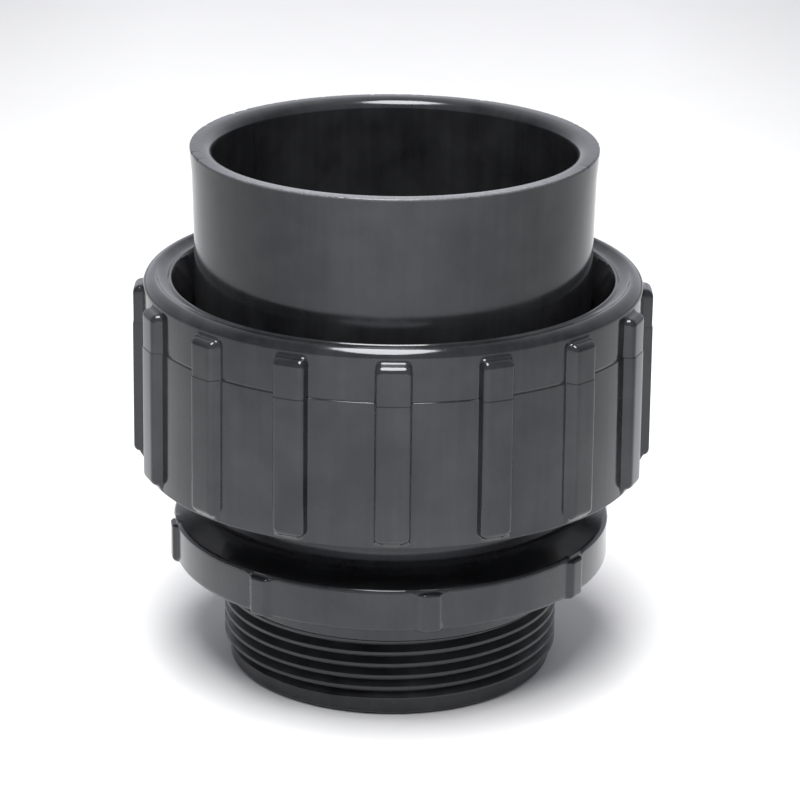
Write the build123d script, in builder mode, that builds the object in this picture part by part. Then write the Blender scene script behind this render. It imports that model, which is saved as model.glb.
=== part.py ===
"""Pipe union: a 63 mm solvent-weld socket on one side, a 2 inch male thread on the other.

Four pieces, as they come apart on a bench:
  threaded_body  male thread, grip flange, neck and the head that the nut screws onto
  o_ring         face seal in the groove on top of the head
  tailpiece      pipe socket with the collar that the nut clamps
  union_nut      ribbed nut with a shoulder above the collar

Units are millimetres. The Z axis is the pipe axis, and Z = 0 is the end face of
the male thread. -Y is the front. Heights are named ..._z and radii ..._r.
"""
import os
from math import radians, tan

from build123d import *

os.makedirs("parts", exist_ok=True)

# ---------------------------------------------------------------- driving dimensions
# Male end
water_r = 24.5                # water passage
pilot_r = 29.1                # smooth ring below the thread
pilot_top_z = 3.6
male_crest_r = 30.15          # 2 inch thread, 60.3 mm over the crests
male_pitch = 25.4 / 11.5      # 11.5 threads per inch
male_depth = 1.45
male_crest_flat = 0.62
male_flank = 27.5             # degrees from square to the axis
male_front_crest_z = 7.86     # height of a crest on the front line
shank_r = 30.1
shank_bottom_z = 14.6
shank_fillet = 0.8
pilot_chamfer = 0.7
passage_round = 0.8

# Grip flange
flange_bottom_z = 20.2
flange_top_z = 28.0
flange_r = 39.0
flange_top_round = 0.6
flange_bottom_round = 0.5
lug_count = 8
lug_width = 4.4
lug_proud = 0.9
lug_root = 2.0                # depth of a lug's root inside the flange
lug_drop = 0.7                # top of a lug below the top of the flange
lug_turn = 10.3               # degrees from the front, towards +X
lug_edge_round = 0.5
lug_foot_round = 0.8

# Neck and head
neck_r = 32.0
neck_foot_fillet = 2.0
neck_top_fillet = 1.5
head_bottom_z = 39.6
head_top_z = 54.4
head_chamfer = 0.9
head_mouth_r = 27.0           # the passage widens to this at the seal face
head_mouth_depth = 8.0

# Union thread between head and nut
union_pitch = 4.0
union_depth = 1.5
union_crest_flat = 1.25
union_flank = 20.0
head_crest_r = 41.6
nut_crest_r = 40.5
union_front_crest_z = 50.0    # height of a head crest on the front line
union_lead_in = 0.8           # plain stretch at the start of each thread

# Seal
groove_r = 33.5               # centre line of groove and ring
groove_width = 4.6
groove_depth = 3.2
ring_width = 4.0
ring_round = 1.4
face_gap = 0.3                # the squeezed ring keeps the two faces this far apart

# Tailpiece
socket_r = 31.65              # 63.3 mm socket for 63 mm pipe
socket_depth = 38.0
tail_top_z = 95.6
tail_rim_r = 35.6
tail_r = 34.9
tail_flare = [(35.0, 79.8), (35.2, 90.7)]  # radius and height where the draft steepens
stop_r = 27.0                 # the pipe stops on the ledge above this bore
rim_round = 1.4
rim_outer_round = 0.4
collar_r = 40.2
collar_thickness = 6.0
collar_fillet = 1.0
collar_lower_chamfer = 0.6
collar_upper_chamfer = 0.4

# Nut
nut_bottom_z = 37.8
nut_top_z = 72.6
nut_upper_r = 44.0
nut_lower_r = 44.4
nut_lower_round = 0.4
nut_shoulder_round = 2.1
nut_shoulder_play = 0.2       # between the nut's shoulder and the collar
nut_crown_r = 41.2            # inner edge of the shoulder's level top
nut_lip_r = 38.8
nut_lip_z = 71.9
nut_funnel_z = 65.0
nut_hole_r = 36.5
nut_mouth_chamfer = 0.7
parting_z = 63.2
parting_step = 0.12
rib_count = 16
rib_turn = 0.45               # degrees from the front, towards +X
rib_width = 6.0
rib_top_z = 70.3
rib_bottom_z = 38.9
rib_upper_r = 45.8
rib_lower_r = 46.1
rib_root = 1.0                # depth of a rib's root inside the nut wall
rib_top_round = 1.2
rib_foot_round = 1.2

# ---------------------------------------------------------------- heights worked out
tail_bottom_z = head_top_z + face_gap
collar_top_z = tail_bottom_z + collar_thickness
shoulder_z = collar_top_z + nut_shoulder_play
stop_z = tail_top_z - socket_depth
male_root_r = male_crest_r - male_depth
head_root_r = head_crest_r - union_depth
nut_root_r = nut_crest_r + union_depth


def helical_ridge(root_r, crest_r, crest_flat, flank, pitch, front_z, low_z, high_z):
    """One right-hand thread ridge with a crest at front_z on the -Y line.

    The ridge runs from root_r to crest_r, inwards or outwards, and is cut off
    square at low_z and high_z. Its base reaches a little into the wall it sits on.
    """
    embed = 0.25
    base_r = root_r - embed if crest_r > root_r else root_r + embed
    half_crest = crest_flat / 2
    half_base = half_crest + abs(crest_r - base_r) * tan(radians(flank))
    crest_z_on_x = front_z - 0.75 * pitch
    while crest_z_on_x > low_z - pitch:
        crest_z_on_x -= pitch
    climb = high_z + pitch - crest_z_on_x
    margin = 1
    outer_r = max(base_r, crest_r) + margin
    inner_r = min(base_r, crest_r) - margin
    with BuildPart() as ridge:
        with BuildLine() as path:
            Helix(pitch, climb, crest_r, center=(0, 0, crest_z_on_x))
        with BuildSketch(Plane.XZ):
            with BuildLine():
                Polyline(
                    (base_r, crest_z_on_x - half_base),
                    (crest_r, crest_z_on_x - half_crest),
                    (crest_r, crest_z_on_x + half_crest),
                    (base_r, crest_z_on_x + half_base),
                    close=True,
                )
            make_face()
        sweep(path=path.line, is_frenet=True)
        with BuildSketch(Plane.XY.offset(low_z)):
            Circle(outer_r)
            Circle(inner_r, mode=Mode.SUBTRACT)
        extrude(amount=high_z - low_z, mode=Mode.INTERSECT)
    return ridge.part


def rings_at(part, radius, height):
    """The circular edges of a part with this radius at this height."""
    return part.edges().filter_by(GeomType.CIRCLE).filter_by(
        lambda edge: abs(edge.radius - radius) < 0.01
        and abs(edge.arc_center.Z - height) < 0.01
    )


# ---------------------------------------------------------------- threaded body
# Turned shape of the body: passage, pilot, shank, flange, neck and head.
with BuildPart() as threaded_body:
    with BuildSketch(Plane.XZ):
        with BuildLine():
            Polyline(
                (water_r, 0),
                (pilot_r, 0),
                (pilot_r, pilot_top_z),
                (male_root_r, pilot_top_z),
                (male_root_r, shank_bottom_z),
                (shank_r, shank_bottom_z),
                (shank_r, flange_bottom_z),
                (flange_r, flange_bottom_z),
                (flange_r, flange_top_z),
                (neck_r, flange_top_z),
                (neck_r, head_bottom_z),
                (head_root_r, head_bottom_z),
                (head_root_r, head_top_z),
                (head_mouth_r, head_top_z),
                (head_mouth_r, head_top_z - head_mouth_depth),
                (water_r, head_bottom_z),
                close=True,
            )
        make_face()
    revolve(axis=Axis.Z)

    # Face groove for the seal.
    with BuildSketch(Plane.XY.offset(head_top_z)):
        Circle(groove_r + groove_width / 2)
        Circle(groove_r - groove_width / 2, mode=Mode.SUBTRACT)
    extrude(amount=-groove_depth, mode=Mode.SUBTRACT)

    fillet(rings_at(threaded_body, neck_r, flange_top_z), neck_foot_fillet)
    fillet(rings_at(threaded_body, neck_r, head_bottom_z), neck_top_fillet)
    fillet(rings_at(threaded_body, shank_r, flange_bottom_z), shank_fillet)
    fillet(rings_at(threaded_body, flange_r, flange_top_z), flange_top_round)
    fillet(rings_at(threaded_body, flange_r, flange_bottom_z), flange_bottom_round)
    chamfer(rings_at(threaded_body, head_root_r, head_top_z), head_chamfer)
    chamfer(rings_at(threaded_body, pilot_r, 0), pilot_chamfer)
    fillet(rings_at(threaded_body, water_r, 0), passage_round)

    # Grip lugs: eight slices of a slightly larger, lower ring around the flange.
    with BuildPart(mode=Mode.PRIVATE) as lugs:
        with BuildSketch(Plane.XY.offset(flange_bottom_z)):
            Circle(flange_r + lug_proud)
            Circle(flange_r - lug_root, mode=Mode.SUBTRACT)
        extrude(amount=flange_top_z - lug_drop - flange_bottom_z)
        fillet(rings_at(lugs, flange_r + lug_proud, flange_top_z - lug_drop), lug_edge_round)
        fillet(rings_at(lugs, flange_r + lug_proud, flange_bottom_z), lug_foot_round)
        with BuildSketch(Plane.XY.offset(flange_bottom_z)):
            with PolarLocations(flange_r, lug_count, start_angle=lug_turn - 90):
                Rectangle(2 * (lug_root + lug_proud), lug_width)
        extrude(amount=flange_top_z - flange_bottom_z, mode=Mode.INTERSECT)
        fillet(
            lugs.edges().filter_by(Axis.Z).group_by(
                lambda edge: round((edge @ 0.5).X ** 2 + (edge @ 0.5).Y ** 2, 0)
            )[-1],
            lug_edge_round,
        )
    add(lugs.part)

    # 2 inch male thread, from the pilot ring up to the shank.
    add(
        helical_ridge(
            male_root_r, male_crest_r, male_crest_flat, male_flank, male_pitch,
            male_front_crest_z, pilot_top_z, shank_bottom_z,
        )
    )
    # Thread of the union nut, between the head's two chamfers.
    add(
        helical_ridge(
            head_root_r, head_crest_r, union_crest_flat, union_flank, union_pitch,
            union_front_crest_z, head_bottom_z + union_lead_in, head_top_z - head_chamfer,
        )
    )
threaded_body.part.label = "threaded_body"
export_step(threaded_body.part, "parts/threaded_body.step")


# ---------------------------------------------------------------- seal ring
# Squeezed ring: flat where it meets the groove floor and the tailpiece.
with BuildPart() as o_ring:
    with BuildSketch(Plane.XZ):
        with Locations((groove_r, head_top_z + (face_gap - groove_depth) / 2)):
            RectangleRounded(ring_width, groove_depth + face_gap, ring_round)
    revolve(axis=Axis.Z)
o_ring.part.label = "o_ring"
export_step(o_ring.part, "parts/o_ring.step")


# ---------------------------------------------------------------- tailpiece
with BuildPart() as tailpiece:
    with BuildSketch(Plane.XZ):
        with BuildLine():
            Polyline(
                (stop_r, tail_bottom_z),
                (collar_r, tail_bottom_z),
                (collar_r, collar_top_z),
                (tail_r, collar_top_z),
                *tail_flare,
                (tail_rim_r, tail_top_z),
                (socket_r, tail_top_z),
                (socket_r, stop_z),
                (stop_r, stop_z),
                close=True,
            )
        make_face()
    revolve(axis=Axis.Z)
    fillet(rings_at(tailpiece, tail_rim_r, tail_top_z), rim_outer_round)
    fillet(rings_at(tailpiece, socket_r, tail_top_z), rim_round)
    fillet(rings_at(tailpiece, tail_r, collar_top_z), collar_fillet)
    chamfer(rings_at(tailpiece, collar_r, tail_bottom_z), collar_lower_chamfer)
    chamfer(rings_at(tailpiece, collar_r, collar_top_z), collar_upper_chamfer)
tailpiece.part.label = "tailpiece"
export_step(tailpiece.part, "parts/tailpiece.step")


# ---------------------------------------------------------------- union nut
with BuildPart() as union_nut:
    with BuildSketch(Plane.XZ):
        with BuildLine():
            Polyline(
                (nut_root_r, nut_bottom_z),
                (nut_lower_r, nut_bottom_z),
                (nut_upper_r + parting_step, parting_z),
                (nut_upper_r, parting_z),
                (nut_upper_r, nut_top_z),
                (nut_crown_r, nut_top_z),
                (nut_lip_r, nut_lip_z),
                (nut_hole_r, nut_funnel_z),
                (nut_hole_r, shoulder_z),
                (nut_root_r, shoulder_z),
                close=True,
            )
        make_face()
    revolve(axis=Axis.Z)
    fillet(rings_at(union_nut, nut_upper_r, nut_top_z), nut_shoulder_round)
    fillet(rings_at(union_nut, nut_lower_r, nut_bottom_z), nut_lower_round)
    chamfer(rings_at(union_nut, nut_root_r, nut_bottom_z), nut_mouth_chamfer)

    # Grip ribs: sixteen slices of a ring with the ribs' own draft and rounded ends.
    with BuildPart(mode=Mode.PRIVATE) as ribs:
        with BuildSketch(Plane.XZ):
            with BuildLine():
                Polyline(
                    (nut_upper_r - rib_root, rib_bottom_z),
                    (rib_lower_r, rib_bottom_z),
                    (rib_upper_r + parting_step, parting_z),
                    (rib_upper_r, parting_z),
                    (rib_upper_r, rib_top_z),
                    (nut_upper_r - rib_root, rib_top_z),
                    close=True,
                )
            make_face()
        revolve(axis=Axis.Z)
        fillet(rings_at(ribs, rib_upper_r, rib_top_z), rib_top_round)
        fillet(rings_at(ribs, rib_lower_r, rib_bottom_z), rib_foot_round)
        with BuildSketch(Plane.XY.offset(rib_bottom_z)):
            with PolarLocations(nut_upper_r, rib_count, start_angle=rib_turn - 90):
                Rectangle(4 * (rib_lower_r - nut_upper_r), rib_width)
        extrude(amount=rib_top_z - rib_bottom_z, mode=Mode.INTERSECT)
    add(ribs.part)

    # Internal thread, from the mouth up to the relief below the collar.
    add(
        helical_ridge(
            nut_root_r, nut_crest_r, union_crest_flat, union_flank, union_pitch,
            union_front_crest_z + union_pitch / 2, nut_bottom_z + union_lead_in,
            head_top_z - head_chamfer,
        )
    )
union_nut.part.label = "union_nut"
export_step(union_nut.part, "parts/union_nut.step")
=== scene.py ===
import math

import bmesh
import bpy
import numpy as np
from mathutils import Matrix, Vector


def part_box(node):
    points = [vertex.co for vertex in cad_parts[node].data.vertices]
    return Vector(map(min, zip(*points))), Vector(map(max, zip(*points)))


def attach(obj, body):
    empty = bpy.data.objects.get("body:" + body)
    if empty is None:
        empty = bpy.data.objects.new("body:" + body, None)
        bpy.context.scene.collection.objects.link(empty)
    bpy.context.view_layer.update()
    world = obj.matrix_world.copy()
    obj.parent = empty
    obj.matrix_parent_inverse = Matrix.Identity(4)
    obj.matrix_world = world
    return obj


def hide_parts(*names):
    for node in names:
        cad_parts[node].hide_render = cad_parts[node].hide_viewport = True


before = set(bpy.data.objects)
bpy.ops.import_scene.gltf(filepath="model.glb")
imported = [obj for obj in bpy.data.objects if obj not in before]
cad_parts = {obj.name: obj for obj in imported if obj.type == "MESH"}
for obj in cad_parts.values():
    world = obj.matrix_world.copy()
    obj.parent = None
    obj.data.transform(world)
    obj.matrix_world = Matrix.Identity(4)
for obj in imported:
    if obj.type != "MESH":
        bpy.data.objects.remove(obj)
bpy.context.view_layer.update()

MM = 0.001
TURN = 2 * math.pi
WELD = 2e-7                   # metres: points this close are one point
SHARP = math.radians(65)      # two faces that turn by more than this meet in a sharp edge


# ---------------------------------------------------------------- sizes
def box_mm(node):
    """Outer radius, lowest height and highest height of a CAD node, in millimetres."""
    low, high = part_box(node)
    return high.x / MM, low.z / MM, high.z / MM


_, nut_bottom_z, nut_top_z = box_mm("union_nut")
collar_r, tail_bottom_z, tail_top_z = box_mm("tailpiece")
_, body_bottom_z, head_top_z = box_mm("threaded_body")

# Male end
water_r = 24.5                # water passage
passage_round = 0.8
pilot_r = 29.1                # smooth ring below the thread
pilot_top_z = 3.6
pilot_chamfer = 0.7
pilot_edge_round = 0.2
male_crest_r = 30.15
male_pitch = 25.4 / 11.5
male_depth = 1.45
male_root_r = male_crest_r - male_depth
male_crest_flat = 0.62
male_flank = 27.5             # degrees from square to the axis
male_round = 0.14
male_front_crest_z = 7.86
shank_r = 30.1
shank_bottom_z = 14.6
shank_fillet = 0.8
edge_break = 0.15             # fine round on a moulded edge

# Grip flange
flange_bottom_z = 20.2
flange_top_z = 28.0
flange_r = 39.0
flange_bottom_round = 0.9
flange_flash = [              # below the top and out from the wall: a fine lip, then a chamfer
    (0.85, 0.0), (0.65, -0.04), (0.51, 0.10), (0.48, 0.11), (0.45, 0.10),
    (0.13, -0.15), (0.10, -0.18), (0.01, -0.50),
]
lug_count = 8
lug_width = 4.6               # at its foot
lug_slope = 0.9               # how far each side leans in
lug_edge_round = 0.9
lug_root_round = 0.3
lug_proud = 0.9
lug_drop = 0.7                # top of a lug below the top of the flange
lug_turn = 10.3
lug_top_round = 0.5
lug_top_fillet = 0.25
lug_bottom_round = 0.8
lug_corners = (0.5, 0.1, 1.2)  # top corners, foot corners, and the height they fade over

# Neck and head
neck_r = 30.4
neck_fillet = 3.6
neck_top_fillet = 1.5
head_bottom_z = 39.6
head_edge_round = 0.2
head_chamfer = 0.9
head_mouth_r = 27.0
head_mouth_depth = 8.0
head_mouth_round = 0.4
mouth_floor_round = 1.5
passage_top_round = 3.0

# Union thread
union_pitch = 4.0
union_depth = 1.5
union_crest_flat = 1.25
union_flank = 20.0
union_round = 0.2
head_crest_r = 41.6
nut_crest_r = 40.5
union_front_crest_z = 50.0
union_lead_in = 0.8           # plain stretch at the start of each thread
head_root_r = head_crest_r - union_depth
nut_root_r = nut_crest_r + union_depth
union_top_z = head_top_z - head_chamfer

# Seal groove
groove_r = 33.5
groove_width = 4.6
groove_depth = 3.2
groove_floor_round = 0.3

# Tailpiece
socket_r = 31.65
socket_depth = 38.0
tail_rim_r = 35.6
rim_edge_round = 0.25
rim_inner_break = 63.0        # degrees above level where the mouth's two curves meet
rim_upper_curve = 3.3
rim_lower_curve = 1.7
nick_count = 60
nick_depth = 0.12
nick_seed = 4
nick_sink = 0.6               # a nick goes down by this share of how far it goes in
tail_r = 34.9
tail_flare = [(35.0, 79.8), (35.2, 90.7)]  # radius and height where the draft steepens
stop_r = 27.0                 # the pipe stops on the ledge above this bore
stop_round = 0.5
stop_edge_round = 0.3
stop_z = tail_top_z - socket_depth
collar_top_z = tail_bottom_z + 6.0
collar_fillet = 1.0
collar_lower_round = 0.6
collar_upper_round = 0.4
tail_columns = 1025

# Nut
nut_upper_r = 44.0
nut_lower_r = 44.4
nut_lower_round = 0.23
nut_wall_low_z = nut_bottom_z + 0.25
nut_mouth_r = nut_root_r + 0.7  # the thread's mouth is flared to this at the bottom face
nut_lip_r = 38.9
nut_lip_z = nut_top_z - 0.7
nut_recess_depth = 0.24       # the shoulder's flat top, below the lip
nut_lip_rise = 0.04
nut_funnel_z = 65.0
nut_funnel_round = 0.4
nut_hole_r = 36.5
nut_hole_round = 0.3
nut_shoulder_z = collar_top_z + 0.2
nut_shoulder_fillet = 0.5
crown_low_z = nut_top_z - 1.76  # where the wall starts to curve into the shoulder
crown_foot_r = 1.46           # the curve has three parts, from the wall to its top
crown_r = 2.27
crown_top_r = 1.0
crown_break = 34.4            # degrees above level where the first meets the second
crown_top_break = 75.0        # and where the second meets the third
crown_end = 125.0             # and where the third stops
parting_z = 63.2
parting_step = 0.12           # the lower half stands out by this at the parting line
parting_groove = [            # above the parting line and out from the wall
    (0.12, -0.03), (0.26, -0.10), (0.42, -0.05), (0.60, 0.0),
]
rib_parting = [               # the same line where it crosses a rib
    (0.0, parting_step), (0.10, 0.02), (0.20, 0.0),
]
rib_count = 16
rib_turn = 0.45               # degrees from the front, towards +X
rib_width = 6.1               # at its foot
crisp_slope = 0.35            # how far a rib's side leans in
crisp_round = 0.35
crisp_root_round = 0.25
soft_slope = 0.8
soft_round = 0.9
soft_root_round = 0.2
rib_bottom_z = 38.9
rib_upper_r = 45.8
rib_lower_r = 46.1
rib_proud = rib_upper_r - nut_upper_r
rib_cap_z = 70.1              # level part of a rib's top
rib_cap_round = 1.26
rib_cap_fillet = 0.7
rib_foot_round = 1.2
rib_corners = (1.2, 1.5, 2.5)  # top corners, foot corners, and the height they fade over


# ---------------------------------------------------------------- outlines
def rounded(points, step=15.0):
    """An outline whose corners (across, up, radius) become arcs; (across, up) stays sharp."""
    outline = []
    for i, point in enumerate(points):
        corner = np.array(point[:2])
        if len(point) == 2:
            outline.append(corner)
            continue
        back = np.array(points[i - 1][:2]) - corner
        ahead = np.array(points[i + 1][:2]) - corner
        back /= np.linalg.norm(back)
        ahead /= np.linalg.norm(ahead)
        half = math.acos(np.clip(back @ ahead, -1, 1)) / 2
        middle = back + ahead
        centre = corner + middle / np.linalg.norm(middle) * point[2] / math.sin(half)
        start = corner + back * point[2] / math.tan(half) - centre
        end = corner + ahead * point[2] / math.tan(half) - centre
        first = math.atan2(start[1], start[0])
        sweep = math.remainder(math.atan2(end[1], end[0]) - first, TURN)
        count = max(2, math.ceil(abs(math.degrees(sweep)) / step))
        for k in range(count + 1):
            turn = first + sweep * k / count
            outline.append(centre + point[2] * np.array((math.cos(turn), math.sin(turn))))
    return outline


def arc(centre, radius, first, last, step=8.0):
    """Points of an arc, from one angle to another in degrees above level."""
    count = max(2, math.ceil(abs(last - first) / step))
    turns = np.radians(np.linspace(first, last, count + 1))
    return [np.array(centre) + radius * np.array((math.cos(t), math.sin(t))) for t in turns]


def thread_profile(root_r, crest_r, crest_flat, flank, pitch, round_r):
    """One pitch of a thread as heights from the crest's middle, and radii."""
    half_crest = crest_flat / 2
    half_base = half_crest + abs(crest_r - root_r) * math.tan(math.radians(flank))
    root_round = min(round_r, 0.9 * (pitch / 2 - half_base))
    outline = rounded([
        (-pitch / 2, root_r),
        (-half_base, root_r, root_round),
        (-half_crest, crest_r, round_r),
        (half_crest, crest_r, round_r),
        (half_base, root_r, root_round),
        (pitch / 2, root_r),
    ], step=30.0)
    heights, radii = np.array(outline[:-1]).T
    return heights, radii


def thread_rings(angles, low_z, high_z, front_z, pitch, profile):
    """Rings that climb with a right-hand thread and are cut off at low_z and high_z."""
    heights, radii = profile
    climb = pitch * angles / TURN
    rings = []
    first = math.floor((low_z - front_z) / pitch) - 1
    last = math.ceil((high_z - front_z) / pitch) + 1
    for turn in range(first, last + 1):
        for height in heights:
            z = np.clip(front_z + pitch * turn + climb + height, low_z, high_z)
            if np.ptp(z) == 0 and rings and np.array_equal(rings[-1][1], z):
                continue
            r = np.interp(z - front_z - climb, heights, radii, period=pitch)
            rings.append((r, z))
    return rings


# ---------------------------------------------------------------- ribs and lugs
def rib_side(width, slope, proud, edge_round, root_round):
    """Half of a rib's cross-section, from its middle out, as (across, share of height)."""
    beyond = 1.0                  # the outline runs on along the wall by this
    outline = np.array(rounded([
        (0, proud),
        (width / 2 - slope, proud, edge_round),
        (width / 2, 0, root_round),
        (width / 2 + beyond, 0),
    ], step=18.0))
    return outline[:, 0], outline[:, 1] / proud


def grip_columns(count, first_turn, radius, crisp, soft, between):
    """Angles of a mesh's columns, and each column's share of a rib's height, all round.

    Also gives each column's distance from the middle of its rib. A rib's sides are
    crisp where it faces along X or Y, and soft half-way between, as the mould's four
    slides leave them. Columns crowd together at a rib's edges.
    """
    gap_half = math.pi * radius / count
    last = max(crisp[0][-2], soft[0][-2])
    across = np.concatenate([
        np.linspace(0, soft[0][1], 4)[:-1], soft[0][1:-1], crisp[0][1:-1],
        np.linspace(last, gap_half, between + 2)[1:],
    ])
    across = np.unique(np.round(across, 3))
    across = np.concatenate([-across[:0:-1], across])
    turns = math.radians(first_turn) + TURN * np.arange(count) / count
    softness = np.sin(2 * turns)[:, None] ** 2
    share = (1 - softness) * np.interp(np.abs(across), *crisp)
    share = (share + softness * np.interp(np.abs(across), *soft)).ravel()
    angles = (turns[:, None] + across / radius).ravel()
    angles = np.array([math.remainder(a, TURN) for a in angles])
    across = np.tile(across, count)
    order = np.argsort(angles)
    angles, share, across = angles[order], share[order], across[order]
    least = 1e-6                  # columns closer than this are one
    keep = np.append(np.diff(angles) > least, True)
    keep &= np.abs(angles) < math.pi - least
    angles, share, across = angles[keep], share[keep], across[keep]
    seam = [angles[-1], angles[0] + TURN]
    seam_share = np.interp(math.pi, seam, [share[-1], share[0]])
    seam_across = np.interp(math.pi, seam, [abs(across[-1]), abs(across[0])])
    angles = np.concatenate([[-math.pi], angles, [math.pi]])
    share = np.concatenate([[seam_share], share, [seam_share]])
    across = np.concatenate([[seam_across], across, [seam_across]])
    return angles, share, np.abs(across)


def corner_drop(across, width, round_r):
    """How far a rib's end sits back at each column, which rounds the end's corners."""
    inside = np.clip(across - (width / 2 - round_r), 0, round_r)
    drop = round_r - np.sqrt(round_r ** 2 - inside ** 2)
    outside = np.clip((across - width / 2) / (1.6 * round_r), 0, 1)
    return drop * (1 - outside ** 2 * (3 - 2 * outside))


def grip_rings(wall, rib, columns, width, corners):
    """Rings of a wall with ribs on it. Wall and rib are outlines that only climb."""
    _, share, across = columns
    top_round, foot_round, fade_z = corners
    wall_r, wall_z = np.array(wall).T
    rib_r, rib_z = np.array(rib).T
    top_drop = corner_drop(across, width, top_round)
    foot_lift = corner_drop(across, width, foot_round)
    rings = []
    heights = np.unique(np.round(np.concatenate([wall_z, rib_z]), 4))
    for z in heights:
        rise = max(0.0, np.interp(z, rib_z, rib_r) - np.interp(z, wall_z, wall_r))
        near_top = np.clip((z - rib_z[-1]) / fade_z + 2, 0, 1)
        near_foot = np.clip((rib_z[0] - z) / fade_z + 2, 0, 1)
        if z > rib_z[-1] or z < rib_z[0]:
            near_top = near_foot = 0
        at = z - near_top * top_drop + near_foot * foot_lift
        r = np.interp(at, wall_z, wall_r) + rise * share
        rings.append((r, at))
    return rings


# ---------------------------------------------------------------- meshes
def shell(name, angles, rings, slot_material):
    """A closed mesh from rings of (radius, height) that go once round the cross-section."""
    radii = np.array([np.broadcast_to(r, angles.shape) for r, _ in rings])
    heights = np.array([np.broadcast_to(z, angles.shape) for _, z in rings])
    points = np.stack([radii * np.sin(angles), -radii * np.cos(angles), heights], axis=-1)
    index = np.arange(radii.size).reshape(radii.shape)
    above = np.roll(index, -1, axis=0)
    faces = np.stack([index[:, :-1], index[:, 1:], above[:, 1:], above[:, :-1]], axis=-1)
    mesh = bpy.data.meshes.new(name)
    mesh.from_pydata((points.reshape(-1, 3) * MM).tolist(), [], faces.reshape(-1, 4).tolist())
    work = bmesh.new()
    work.from_mesh(mesh)
    bmesh.ops.remove_doubles(work, verts=work.verts, dist=WELD)
    bmesh.ops.recalc_face_normals(work, faces=work.faces)
    for face in work.faces:
        face.smooth = True
    for edge in work.edges:
        edge.smooth = edge.calc_face_angle(0) < SHARP
    work.to_mesh(mesh)
    work.free()
    piece = bpy.data.objects.new(name, mesh)
    bpy.context.scene.collection.objects.link(piece)
    normals = piece.modifiers.new("even_flats", "WEIGHTED_NORMAL")
    normals.weight = 100
    normals.mode = "FACE_AREA"
    normals.keep_sharp = True
    mesh.materials.append(slot_material)
    return piece


def place_on_cad(piece, node):
    """Let a shell ride on a body, and stand for the CAD node of the same name."""
    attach(piece, node)
    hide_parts(node)


# ---------------------------------------------------------------- nut
def nut_wall():
    """The nut's outside between its bottom round and its crown, with the parting groove."""
    wall = [
        (nut_lower_r, nut_wall_low_z),
        (nut_upper_r + parting_step, parting_z),
    ]
    wall += [(nut_upper_r + out, parting_z + up) for up, out in parting_groove]
    wall.append((nut_upper_r, crown_low_z))
    return wall


def nut_rib():
    """A rib's outline from its foot to its cap, with the step at the parting line."""
    cap_turn = math.acos(1 - rib_proud / (rib_cap_round + rib_cap_fillet))
    cap_low_z = rib_cap_z - rib_cap_round * math.sin(cap_turn)
    fillet_top_z = rib_cap_z + rib_cap_fillet * math.sin(cap_turn)
    cap_degrees = math.degrees(cap_turn)
    foot_centre = (rib_lower_r - rib_foot_round, rib_bottom_z + rib_foot_round)
    rib = arc(foot_centre, rib_foot_round, -88, 0, 11)
    rib += [np.array((rib_upper_r + out, parting_z + up)) for up, out in rib_parting]
    rib += arc((rib_upper_r - rib_cap_round, cap_low_z), rib_cap_round, 0, cap_degrees, 8)
    fillet_centre = (nut_upper_r + rib_cap_fillet, fillet_top_z)
    rib += arc(fillet_centre, rib_cap_fillet, 180 + cap_degrees, 180, 12)[1:]
    return rib


def nut_crown():
    """The three arcs from the nut's wall over its shoulder."""
    foot_turn = math.radians(crown_break)
    top_turn = math.radians(crown_top_break)
    break_r = nut_upper_r - crown_foot_r * (1 - math.cos(foot_turn))
    break_z = crown_low_z + crown_foot_r * math.sin(foot_turn)
    centre = np.array((
        break_r - crown_r * math.cos(foot_turn), break_z - crown_r * math.sin(foot_turn)
    ))
    top_centre = centre + (crown_r - crown_top_r) * np.array(
        (math.cos(top_turn), math.sin(top_turn))
    )
    crown = arc((nut_upper_r - crown_foot_r, crown_low_z), crown_foot_r, 0, crown_break)[1:]
    crown += arc(centre, crown_r, crown_break, crown_top_break)[1:]
    crown += arc(top_centre, crown_top_r, crown_top_break, crown_end)[1:]
    return crown


def nut_inside():
    """From the shoulder's recess over the lip, down the funnel and the hole to the thread."""
    recess_z = nut_lip_z - nut_recess_depth
    lip_top_z = nut_lip_z + nut_lip_rise
    return rounded([
        (nut_lip_r + 2.0, recess_z),
        (nut_lip_r + 0.85, recess_z, 0.15),
        (nut_lip_r + 0.5, lip_top_z, 0.1),
        (nut_lip_r + 0.2, lip_top_z, 0.15),
        (nut_lip_r - 0.1, nut_lip_z - 0.6),
        (nut_hole_r, nut_funnel_z, nut_funnel_round),
        (nut_hole_r, nut_shoulder_z, nut_hole_round),
        (nut_root_r, nut_shoulder_z, nut_shoulder_fillet),
        (nut_root_r, union_top_z + 0.3),
    ])


def build_nut(material):
    """The ribbed nut, with its crowned shoulder, its lip and its inside thread."""
    crisp = rib_side(rib_width, crisp_slope, rib_proud, crisp_round, crisp_root_round)
    soft = rib_side(rib_width, soft_slope, rib_proud, soft_round, soft_root_round)
    columns = grip_columns(rib_count, rib_turn, nut_upper_r, crisp, soft, between=5)
    angles = columns[0]
    rings = rounded([
        (nut_root_r + 1.5, nut_bottom_z),
        (nut_lower_r, nut_bottom_z, nut_lower_round),
        (nut_lower_r, nut_wall_low_z),
    ])
    rings += grip_rings(nut_wall(), nut_rib(), columns, rib_width, rib_corners)[1:]
    rings += nut_crown() + nut_inside()
    profile = thread_profile(
        nut_root_r, nut_crest_r, union_crest_flat, union_flank, union_pitch, union_round
    )
    low_z = nut_bottom_z + union_lead_in
    front_z = union_front_crest_z + union_pitch / 2
    rings += thread_rings(angles, low_z, union_top_z, front_z, union_pitch, profile)[::-1]
    rings += [(nut_root_r, low_z - 0.1), (nut_mouth_r, nut_bottom_z)]
    return shell("union_nut_shell", angles, rings, material)


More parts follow.
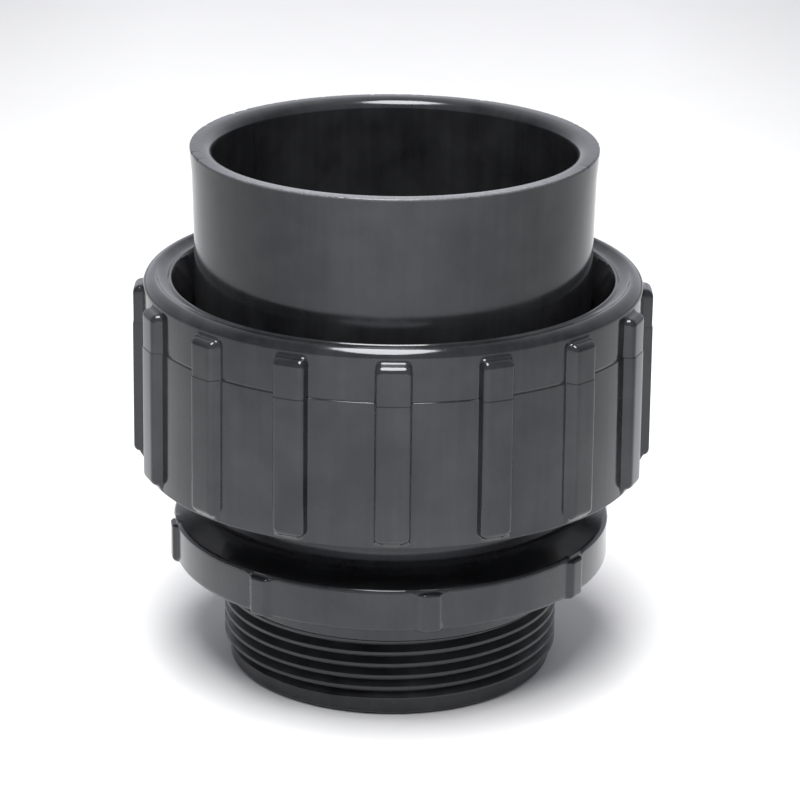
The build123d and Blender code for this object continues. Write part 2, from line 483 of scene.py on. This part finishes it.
# ---------------------------------------------------------------- threaded body
def flange_wall():
    """The flange's outside from its bottom round to the flash at its top edge."""
    centre = (flange_r - flange_bottom_round, flange_bottom_z + flange_bottom_round)
    wall = arc(centre, flange_bottom_round, -89, 0, 11)
    wall += [np.array((flange_r + out, flange_top_z - drop)) for drop, out in flange_flash]
    return wall


def flange_lug():
    """A lug's outline from its foot to the fillet above it."""
    top_z = flange_top_z - lug_drop
    outer_r = flange_r + lug_proud
    foot_centre = (outer_r - lug_bottom_round, flange_bottom_z + lug_bottom_round)
    lug = arc(foot_centre, lug_bottom_round, -88, 0, 11)
    lug += arc((outer_r - lug_top_round, top_z - lug_top_round), lug_top_round, 0, 88, 11)
    fillet_centre = (flange_r + lug_top_fillet, top_z + lug_top_fillet)
    lug += arc(fillet_centre, lug_top_fillet, 265, 180, 20)
    return lug


def male_end(angles):
    """From the bottom face up the pilot ring, the male thread and the shank."""
    rings = rounded([
        (26.5, body_bottom_z),
        (pilot_r - pilot_chamfer, body_bottom_z, pilot_edge_round),
        (pilot_r, body_bottom_z + pilot_chamfer, pilot_edge_round),
        (pilot_r, pilot_top_z, edge_break),
        (male_root_r, pilot_top_z),
    ])[:-1]
    profile = thread_profile(
        male_root_r, male_crest_r, male_crest_flat, male_flank, male_pitch, male_round
    )
    rings += thread_rings(
        angles, pilot_top_z, shank_bottom_z, male_front_crest_z, male_pitch, profile
    )
    rings += rounded([
        (male_root_r, shank_bottom_z),
        (shank_r, shank_bottom_z, edge_break),
        (shank_r, flange_bottom_z, shank_fillet),
        (flange_r - 1.2, flange_bottom_z),
    ])[1:]
    return rings


def neck_and_head(angles):
    """From the flange's top face up the neck and the union thread."""
    rings = rounded([
        (flange_r - 1.0, flange_top_z),
        (neck_r, flange_top_z, neck_fillet),
        (neck_r, head_bottom_z, neck_top_fillet),
        (head_root_r, head_bottom_z, head_edge_round),
        (head_root_r, head_bottom_z + union_lead_in),
    ])
    profile = thread_profile(
        head_root_r, head_crest_r, union_crest_flat, union_flank, union_pitch, union_round
    )
    low_z = head_bottom_z + union_lead_in
    rings += thread_rings(angles, low_z, union_top_z, union_front_crest_z, union_pitch, profile)
    return rings


def head_inside():
    """From the head's top edge over the seal groove, and down the mouth and the passage."""
    groove_out_r = groove_r + groove_width / 2
    groove_in_r = groove_r - groove_width / 2
    groove_z = head_top_z - groove_depth
    return rounded([
        (head_root_r, union_top_z),
        (head_root_r - head_chamfer, head_top_z, edge_break),
        (groove_out_r, head_top_z, edge_break),
        (groove_out_r, groove_z, groove_floor_round),
        (groove_in_r, groove_z, groove_floor_round),
        (groove_in_r, head_top_z, edge_break),
        (head_mouth_r, head_top_z, head_mouth_round),
        (head_mouth_r, head_top_z - head_mouth_depth, mouth_floor_round),
        (water_r, head_bottom_z, passage_top_round),
        (water_r, body_bottom_z, passage_round),
        (26.0, body_bottom_z),
    ])


def build_body(material):
    """The threaded body: male thread, shank, flange with lugs, neck and threaded head."""
    side = rib_side(lug_width, lug_slope, lug_proud, lug_edge_round, lug_root_round)
    columns = grip_columns(lug_count, lug_turn, flange_r, side, side, between=12)
    angles = columns[0]
    rings = male_end(angles)
    rings += grip_rings(flange_wall(), flange_lug(), columns, lug_width, lug_corners)
    rings += neck_and_head(angles) + head_inside()
    return shell("threaded_body_shell", angles, rings, material)


# ---------------------------------------------------------------- tailpiece
def rim_nicks(angles, count, depth, seed):
    """Small dents round an edge: how deep the edge is knocked in at each column."""
    dice = np.random.default_rng(seed)
    graze = 0.03
    dent = graze * dice.random(len(angles))
    for place, width, share in dice.random((count, 3)):
        away = np.abs(angles - math.pi * (2 * place - 1))
        dent += depth * share ** 2 * np.clip(1 - away / (0.006 + 0.02 * width), 0, 1)
    dent[-1] = dent[0]
    return dent


def rim_mouth():
    """The two arcs from the rim's top into the socket, a flatter one above a tighter one."""
    break_turn = math.radians(rim_inner_break)
    lower_centre = np.array((
        socket_r + rim_lower_curve,
        tail_top_z - rim_lower_curve * math.sin(break_turn)
        - rim_upper_curve * (1 - math.sin(break_turn)),
    ))
    upper_centre = lower_centre + (rim_upper_curve - rim_lower_curve) * np.array(
        (math.cos(break_turn), -math.sin(break_turn))
    )
    mouth = arc(upper_centre, rim_upper_curve, 90, 180 - rim_inner_break, 6)
    mouth += arc(lower_centre, rim_lower_curve, 180 - rim_inner_break, 180, 6)[1:]
    return mouth


def build_tailpiece(material):
    """The pipe socket with its worn rim, the ledge inside and the collar below."""
    angles = np.linspace(-math.pi, math.pi, tail_columns)
    outside = rounded([
        (stop_r + 3, tail_bottom_z),
        (collar_r, tail_bottom_z, collar_lower_round),
        (collar_r, collar_top_z, collar_upper_round),
        (tail_r, collar_top_z, collar_fillet),
        *tail_flare,
        (tail_rim_r, tail_top_z - 2 * rim_edge_round),
    ], step=9.0)
    dent = rim_nicks(angles, nick_count, nick_depth, nick_seed)
    edge_centre = (tail_rim_r - rim_edge_round, tail_top_z - rim_edge_round)
    edge = arc(edge_centre, rim_edge_round, 0, 90, 18)
    rim = [(r - dent, z - nick_sink * dent) for r, z in edge]
    mouth = rim_mouth()
    inside = rounded([
        mouth[-1],
        (socket_r, stop_z, stop_round),
        (stop_r, stop_z, stop_edge_round),
        (stop_r, tail_bottom_z, stop_edge_round),
        (stop_r + 2, tail_bottom_z),
    ])[1:]
    return shell("tailpiece_shell", angles, outside + rim + mouth + inside, material)


# ---------------------------------------------------------------- material nodes
def new_material(name):
    """A material with its nodes, its links and its Principled shader."""
    material = bpy.data.materials.new(name)
    material.use_nodes = True
    nodes = material.node_tree.nodes
    return material, nodes, material.node_tree.links, nodes["Principled BSDF"]


def object_place(nodes):
    """Object coordinates, in metres."""
    return nodes.new("ShaderNodeTexCoord").outputs["Object"]


def split_place(nodes, links, place):
    """The X, Y and Z of a place, as sockets by name."""
    split = nodes.new("ShaderNodeSeparateXYZ")
    links.new(place, split.inputs["Vector"])
    return split.outputs


def noise(nodes, links, place, scale, detail):
    """A noise texture on object coordinates."""
    texture = nodes.new("ShaderNodeTexNoise")
    texture.inputs["Scale"].default_value = scale
    texture.inputs["Detail"].default_value = detail
    links.new(place, texture.inputs["Vector"])
    return texture.outputs["Fac"]


def remap(nodes, links, value, from_low, from_high, to_low, to_high):
    """A value moved from one range to another, and held inside it."""
    step = nodes.new("ShaderNodeMapRange")
    step.inputs["From Min"].default_value = from_low
    step.inputs["From Max"].default_value = from_high
    step.inputs["To Min"].default_value = to_low
    step.inputs["To Max"].default_value = to_high
    links.new(value, step.inputs["Value"])
    return step.outputs["Result"]


def combine(nodes, links, operation, first, second):
    """Two values joined by a Math node."""
    joined = nodes.new("ShaderNodeMath")
    joined.operation = operation
    links.new(first, joined.inputs[0])
    links.new(second, joined.inputs[1])
    return joined.outputs["Value"]


def mix_colour(nodes, links, share):
    """A colour Mix node driven by a share: its two colour inputs and its result."""
    mix = nodes.new("ShaderNodeMix")
    mix.data_type = "RGBA"
    links.new(share, mix.inputs[0])
    return mix.inputs[6], mix.inputs[7], mix.outputs[2]


def bump(nodes, links, height, distance, below=None, strength=1.0):
    """A bump layer, laid over another one if there is one. Its distance is in metres."""
    layer = nodes.new("ShaderNodeBump")
    layer.inputs["Strength"].default_value = strength
    layer.inputs["Distance"].default_value = distance
    links.new(height, layer.inputs["Height"])
    if below is not None:
        links.new(below, layer.inputs["Normal"])
    return layer.outputs["Normal"]


# ---------------------------------------------------------------- materials
def mottled_black(nodes, links, patches, clouds, streaks, shade):
    """Black that drifts between a darker and a paler shade."""
    mottle = combine(
        nodes, links, "ADD",
        remap(nodes, links, patches, 0.3, 0.7, 0.0, 0.5),
        remap(nodes, links, clouds, 0.3, 0.7, 0.0, 0.35),
    )
    mottle = combine(
        nodes, links, "ADD", mottle, remap(nodes, links, streaks, 0.3, 0.7, 0.0, 0.15)
    )
    tone = nodes.new("ShaderNodeValToRGB")
    dark, pale = tone.color_ramp.elements
    dark.position = 0.15
    dark.color = (shade * 0.45, shade * 0.46, shade * 0.52, 1)
    pale.position = 0.85
    pale.color = (shade * 1.65, shade * 1.68, shade * 1.75, 1)
    links.new(mottle, tone.inputs["Fac"])
    return tone.outputs["Color"]


def height_band(nodes, links, height, low_z, high_z):
    """One between two heights in millimetres, and nought elsewhere, with soft ends."""
    fade = 0.2 * MM
    above = remap(nodes, links, height, low_z * MM - fade, low_z * MM + fade, 0, 1)
    below = remap(nodes, links, height, high_z * MM - fade, high_z * MM + fade, 1, 0)
    return combine(nodes, links, "MULTIPLY", above, below)


def moulded_relief(nodes, links, patches, streaks, grain):
    """Shallow waves, flow streaks and a fine grain, one over the other."""
    waves = bump(nodes, links, patches, 0.00012)
    flow = bump(nodes, links, streaks, 0.000004, waves)
    return bump(nodes, links, grain, 0.0000016, flow)


def black_pvc(name, shade, rough, dull_low_z, dull_high_z, dull, front_sheen):
    """Black moulded PVC: glossy and cloudy, with flow streaks and fine rubbing.

    Between two heights the surface is rougher by dull, as on a cut thread or a handled
    rim, and towards the front a paler grey is painted there: a painted highlight, broken up by
    scratch grain.
    """
    material, nodes, links, shader = new_material(name)
    shader.inputs["IOR"].default_value = 1.5
    shader.inputs["Specular Tint"].default_value = (0.93, 0.95, 1.0, 1)
    place = object_place(nodes)
    drawn = nodes.new("ShaderNodeMapping")
    drawn.inputs["Scale"].default_value = (700, 700, 45)  # streaks run along the axis
    links.new(place, drawn.inputs["Vector"])
    streaks = noise(nodes, links, drawn.outputs["Vector"], 1.0, 3.0)
    patches = noise(nodes, links, place, 45.0, 3.0)
    clouds = noise(nodes, links, place, 170.0, 4.0)
    grain = noise(nodes, links, place, 2600.0, 2.0)
    black = mottled_black(nodes, links, patches, clouds, streaks, shade)

    at = split_place(nodes, links, place)
    band = height_band(nodes, links, at["Z"], dull_low_z, dull_high_z)
    rubbed = combine(
        nodes, links, "MULTIPLY", band, remap(nodes, links, clouds, 0.35, 0.6, 0.5 * dull, dull)
    )
    # painted highlight: towards the front of the band the black is mixed to a paler grey,
    # broken up by scratch grain
    front = remap(nodes, links, at["Y"], -30 * MM, -12 * MM, 1.0, 0.0)
    scratched_sheen = remap(nodes, links, grain, 0.35, 0.6, 0.6 * front_sheen, front_sheen)
    sheen_share = combine(nodes, links, "MULTIPLY", band, front)
    sheen_share = combine(nodes, links, "MULTIPLY", sheen_share, scratched_sheen)
    bare_black, sheen_grey, colour = mix_colour(nodes, links, sheen_share)
    # the paler grey of the painted highlight
    sheen_grey.default_value = (0.185, 0.185, 0.195, 1)
    links.new(black, bare_black)
    links.new(colour, shader.inputs["Base Color"])
    roughness = combine(
        nodes, links, "ADD", rubbed,
        remap(nodes, links, patches, 0.3, 0.7, rough - 0.03, rough + 0.04),
    )
    links.new(roughness, shader.inputs["Roughness"])
    relief = moulded_relief(nodes, links, patches, streaks, grain)
    links.new(relief, shader.inputs["Normal"])
    return material


def seal_rubber():
    """Matt black rubber with a fine talcum bloom."""
    material, nodes, links, shader = new_material("seal_rubber_look")
    bloom = noise(nodes, links, object_place(nodes), 900.0, 5.0)
    bare, dusty, colour = mix_colour(nodes, links, bloom)
    bare.default_value = (0.012, 0.012, 0.012, 1)
    dusty.default_value = (0.045, 0.045, 0.046, 1)
    links.new(colour, shader.inputs["Base Color"])
    rough = remap(nodes, links, bloom, 0.0, 1.0, 0.5, 0.75)
    links.new(rough, shader.inputs["Roughness"])
    links.new(bump(nodes, links, bloom, 0.00005, strength=0.3), shader.inputs["Normal"])
    return material


def floor_white():
    """Matt white table with a painted light pool: painted greyer far out at the sides and the
    back, as a narrow light falls off.
    """
    material, nodes, links, shader = new_material("floor_white")
    shader.inputs["Roughness"].default_value = 0.9
    shader.inputs["Specular IOR Level"].default_value = 0.0
    place = object_place(nodes)
    paper = noise(nodes, links, place, 30.0, 2.0)
    at = split_place(nodes, links, place)
    aside = nodes.new("ShaderNodeMath")
    aside.operation = "ABSOLUTE"
    links.new(at["X"], aside.inputs[0])
    # painted light pool: the white is greyed out at the sides and towards the back; the paper
    # noise on top is the table's own grain
    painted_pool = combine(
        nodes, links, "MULTIPLY",
        remap(nodes, links, aside.outputs["Value"], 0.08, 0.28, 1.0, 0.62),
        remap(nodes, links, at["Y"], 0.05, 0.30, 1.0, 0.93),
    )
    painted_pool = combine(
        nodes, links, "MULTIPLY", painted_pool, remap(nodes, links, paper, 0.0, 1.0, 0.81, 0.83)
    )
    grey = nodes.new("ShaderNodeCombineColor")
    for channel in ("Red", "Green", "Blue"):
        links.new(painted_pool, grey.inputs[channel])
    links.new(grey.outputs["Color"], shader.inputs["Base Color"])
    return material


# ---------------------------------------------------------------- studio
def build_floor():
    """A large level table under the union."""
    half = 4.0                    # metres
    z = body_bottom_z * MM
    mesh = bpy.data.meshes.new("floor")
    corners = [(-half, -half, z), (half, -half, z), (half, half, z), (-half, half, z)]
    mesh.from_pydata(corners, [], [(0, 1, 2, 3)])
    floor = bpy.data.objects.new("floor", mesh)
    bpy.context.scene.collection.objects.link(floor)
    mesh.materials.append(floor_white())


def build_world():
    """A dim studio: pale in front, darker at the sides, with a pale wall behind."""
    world = bpy.data.worlds.new("studio")
    bpy.context.scene.world = world
    world.use_nodes = True
    nodes = world.node_tree.nodes
    links = world.node_tree.links
    direction = nodes.new("ShaderNodeTexCoord").outputs["Generated"]
    at = split_place(nodes, links, direction)
    depth = remap(nodes, links, at["Y"], -1.0, 1.0, 0.0, 1.0)
    ramp = nodes.new("ShaderNodeValToRGB")
    front, behind = ramp.color_ramp.elements
    front.position = 0.0
    front.color = (0.55, 0.56, 0.60, 1)
    behind.position = 1.0
    behind.color = (0.95, 0.97, 1.05, 1)
    for position, grey in ((0.3, 0.28), (0.5, 0.20), (0.75, 0.55)):
        stop = ramp.color_ramp.elements.new(position)
        stop.color = (grey, grey, grey * 1.08, 1)
    links.new(depth, ramp.inputs["Fac"])
    links.new(ramp.outputs["Color"], nodes["Background"].inputs["Color"])


def build_camera():
    """The photograph's viewpoint: from the front, looking down, rolled a little."""
    place = (0.00141, -0.5254, 0.23475)  # metres
    down = 19.535                 # degrees
    roll = 0.649
    data = bpy.data.cameras.new("camera")
    data.sensor_width = 36.0
    data.lens = 140.4
    camera = bpy.data.objects.new("camera", data)
    bpy.context.scene.collection.objects.link(camera)
    tilted = Matrix.Rotation(math.radians(90 - down), 4, "X")
    rolled = Matrix.Rotation(math.radians(roll), 4, "Z")
    camera.matrix_world = Matrix.Translation(place) @ tilted @ rolled
    bpy.context.scene.camera = camera


def build_light():
    """One long oval softbox overhead, facing down, a little to the left and the front."""
    light = bpy.data.lights.new("overhead", "AREA")
    light.shape = "ELLIPSE"
    light.size = 0.56             # metres, as are the other size and the place
    light.size_y = 1.05
    light.energy = 24.7
    lamp = bpy.data.objects.new("overhead", light)
    bpy.context.scene.collection.objects.link(lamp)
    lamp.location = (-0.045, -0.385, 1.1)


# ---------------------------------------------------------------- assembly
bpy.context.scene.view_settings.view_transform = "Standard"
bpy.context.scene.view_settings.look = "None"
build_world()
build_floor()
build_camera()
build_light()

pvc_shade = 0.016
thread_dull = (pilot_top_z, shank_bottom_z, 0.34, 0.0)
# the rim is rougher, and its front gets a painted highlight in paler grey
rim_dull_and_sheen = (tail_top_z - 0.25, tail_top_z + 1.0, 0.12, 0.8)
mouth_dull = (nut_bottom_z - 1.0, nut_bottom_z + 0.6, 0.1, 0.0)
body = build_body(black_pvc("pvc_body_look", pvc_shade, 0.16, *thread_dull))
tailpiece = build_tailpiece(black_pvc("pvc_tail_look", pvc_shade, 0.13, *rim_dull_and_sheen))
nut = build_nut(black_pvc("pvc_nut_look", pvc_shade, 0.11, *mouth_dull))
place_on_cad(body, "threaded_body")
place_on_cad(tailpiece, "tailpiece")
place_on_cad(nut, "union_nut")

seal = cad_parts["o_ring"]
seal.data.materials.clear()
seal.data.materials.append(seal_rubber())
